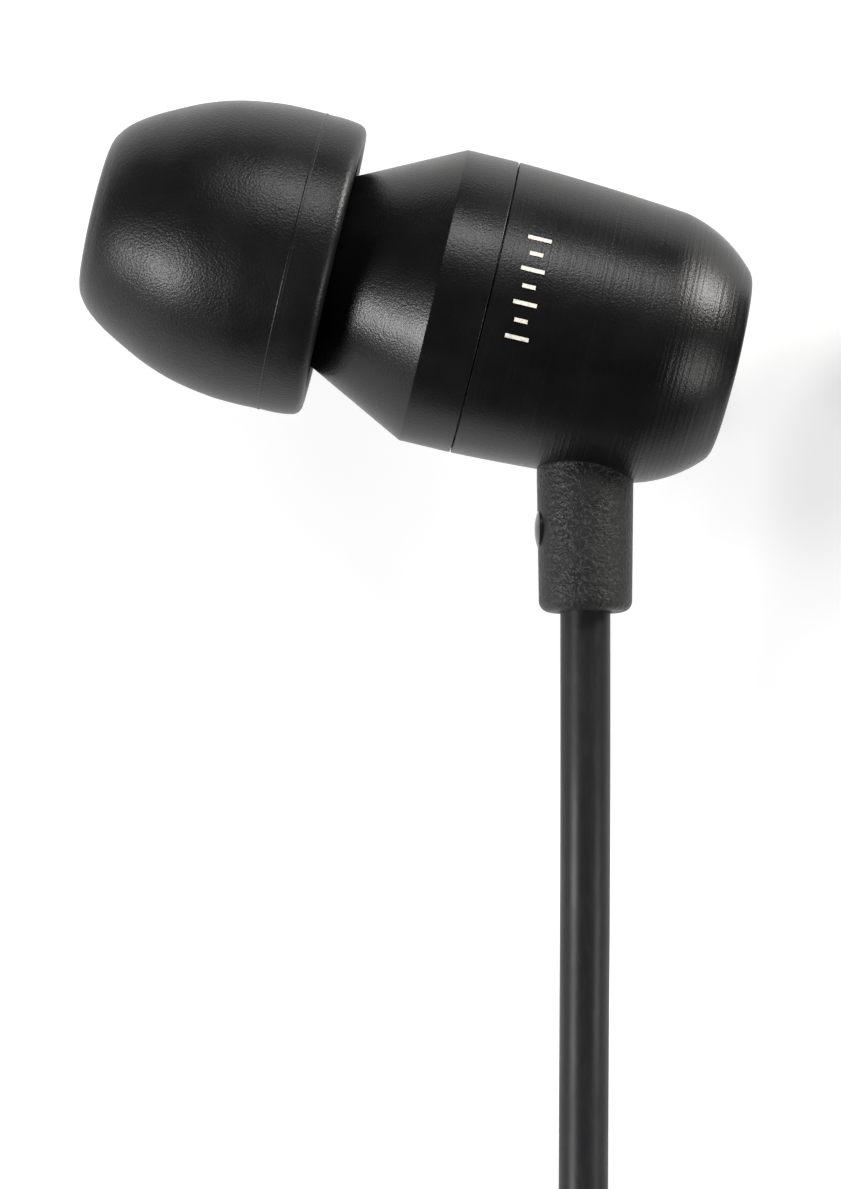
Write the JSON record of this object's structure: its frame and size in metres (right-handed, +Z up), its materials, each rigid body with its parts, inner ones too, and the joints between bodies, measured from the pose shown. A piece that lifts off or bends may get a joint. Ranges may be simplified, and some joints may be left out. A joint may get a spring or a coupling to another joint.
{
  "type": "in-ear monitors",
  "caption": "Pair of black in-ear monitors with bell-shaped silicone tips, cone-fronted round housings, a Y cable with slider and splitter, and a stereo jack plug.",
  "frame": {"origin": "on the table, under the middle of the two earpieces", "axes": "+Z up from the table; +Y from the cable's end towards the earpieces; +X from the left earpiece to the right one"},
  "size_m": [0.0668, 0.1216, 0.0127],
  "materials": {
    "silicone": "matte grained silicone",
    "housing": "fine-grained matte black",
    "mesh": "perforated",
    "felt": "felt",
    "foam": "closed-cell foam",
    "steel": "plated",
    "frame_plastic": "moulded",
    "film": "polyester film",
    "copper": "enamelled copper wire",
    "magnet": "nickel-plated",
    "board": "printed board",
    "brass": "crimped",
    "boot_rubber": "fine-textured rubber",
    "cable": "satin jacket",
    "splitter_plastic": "fine-textured",
    "gold": "gold-plated",
    "insulator": "moulded"
  },
  "bodies": {
    "assembly": {"left_cable": "cable", "left_cable_coil": "cable", "left_cable_end": "cable", "left_cable_ferrule": "brass", "left_driver_cover": "steel", "left_driver_frame": "frame_plastic", "left_driver_gasket": "foam", "left_front_shell": "housing", "left_magnet": "magnet", "left_nozzle": "housing", "left_nozzle_damper": "felt", "left_nozzle_mesh": "mesh", "left_pole_plate": "steel", "left_rear_felt": "felt", "left_rear_shell": "housing", "left_strain_relief": "boot_rubber", "left_terminal_board": "board", "left_yoke": "steel", "main_cable": "cable", "main_cable_coil": "cable", "main_cable_end": "cable", "plug_front_insulator": "insulator", "plug_grip": "splitter_plastic", "plug_rear_insulator": "insulator", "plug_relief": "boot_rubber", "plug_ring": "gold", "plug_sleeve": "gold", "plug_tip": "gold", "right_cable": "cable", "right_cable_coil": "cable", "right_cable_end": "cable", "right_cable_ferrule": "brass", "right_driver_cover": "steel", "right_driver_frame": "frame_plastic", "right_driver_gasket": "foam", "right_front_shell": "housing", "right_magnet": "magnet", "right_nozzle": "housing", "right_nozzle_damper": "felt", "right_nozzle_mesh": "mesh", "right_pole_plate": "steel", "right_rear_felt": "felt", "right_rear_shell": "housing", "right_strain_relief": "boot_rubber", "right_terminal_board": "board", "right_yoke": "steel", "splitter_lower_shell": "splitter_plastic", "splitter_upper_shell": "splitter_plastic"},
    "left_tip": {"left_ear_tip": "silicone"},
    "right_tip": {"right_ear_tip": "silicone"},
    "left_membrane": {"left_diaphragm": "film", "left_voice_coil": "copper"},
    "right_membrane": {"right_diaphragm": "film", "right_voice_coil": "copper"},
    "slider": {"cable_slider": "splitter_plastic"}
  },
  "joints": [
    {"name": "left_tip_pull", "type": "slide", "parent": "assembly", "child": "left_tip", "axis": [-0.9727, 0.229, 0.0384], "range_m": [0, 0.0055]},
    {"name": "left_membrane_stroke", "type": "slide", "parent": "assembly", "child": "left_membrane", "axis": [-0.9727, 0.229, 0.0384], "range_m": [-0.0001, 0.0001], "stiffness_N_per_m": 60},
    {"name": "right_tip_pull", "type": "slide", "parent": "assembly", "child": "right_tip", "axis": [0.9727, 0.229, 0.0384], "range_m": [0, 0.0055]},
    {"name": "right_membrane_stroke", "type": "slide", "parent": "assembly", "child": "right_membrane", "axis": [0.9727, 0.229, 0.0384], "range_m": [-0.0001, 0.0001], "stiffness_N_per_m": 60},
    {"name": "slider_travel", "type": "slide", "parent": "assembly", "child": "slider", "axis": [0, 1, 0], "range_m": [0, 0.008]}
  ]
}
